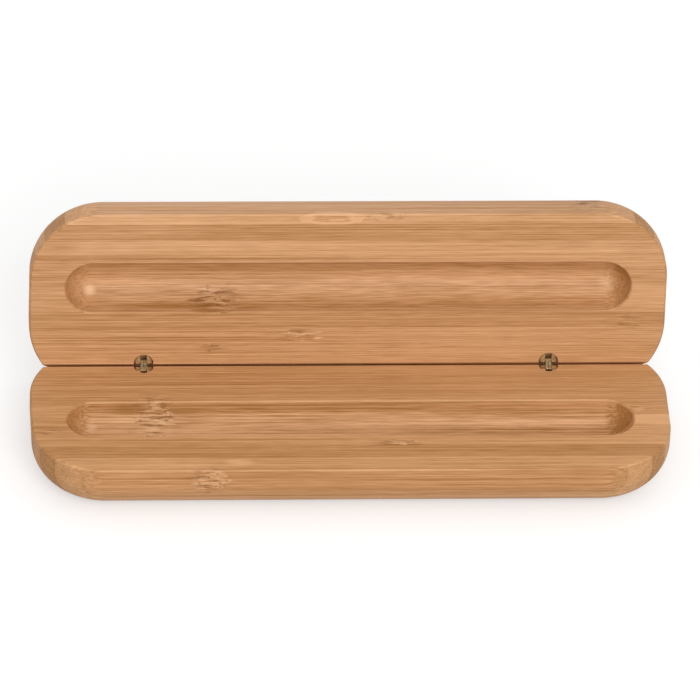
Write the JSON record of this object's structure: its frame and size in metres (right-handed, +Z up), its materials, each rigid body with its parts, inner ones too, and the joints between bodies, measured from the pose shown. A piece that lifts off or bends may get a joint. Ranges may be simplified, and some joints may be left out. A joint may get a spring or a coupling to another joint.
{
  "type": "pen case",
  "caption": "Hinged case for one pen: two equal laminated bamboo half shells with rounded outer edges, a round-bottomed groove in each, and concealed brass barrel hinges.",
  "frame": {"origin": "middle of the base's underside, halfway between its front and back walls, on the surface that the case stands on", "axes": "+X along the case to the right as seen from the front, +Y from the front towards the hinges, +Z up"},
  "size_m": [0.178, 0.0689, 0.064],
  "materials": {
    "bamboo_base": "sanded, satin lacquer",
    "bamboo_lid": "sanded, satin lacquer",
    "hinge_barrels": "turned, plain",
    "hinge_leaves": "stamped, plain",
    "hinge_pins": "plain"
  },
  "bodies": {
    "base": {"base_shell": "bamboo_base", "left_base_barrel": "hinge_barrels", "left_base_pin": "hinge_pins", "right_base_barrel": "hinge_barrels", "right_base_pin": "hinge_pins"},
    "hinge_links": {"left_leaf_1": "hinge_leaves", "left_leaf_2": "hinge_leaves", "right_leaf_1": "hinge_leaves", "right_leaf_2": "hinge_leaves"},
    "lid": {"lid_shell": "bamboo_lid", "left_lid_barrel": "hinge_barrels", "left_lid_pin": "hinge_pins", "right_lid_barrel": "hinge_barrels", "right_lid_pin": "hinge_pins"}
  },
  "joints": [
    {"name": "link_turn", "type": "hinge", "parent": "base", "child": "hinge_links", "pos_m": [0, 0.02207, 0.0151], "axis": [1, 0, 0], "range_deg": [0, 48.5]},
    {"name": "lid_turn", "type": "hinge", "parent": "hinge_links", "child": "lid", "pos_m": [0, 0.02394, 0.01676], "axis": [1, 0, 0], "range_deg": [0, 48.5]}
  ]
}
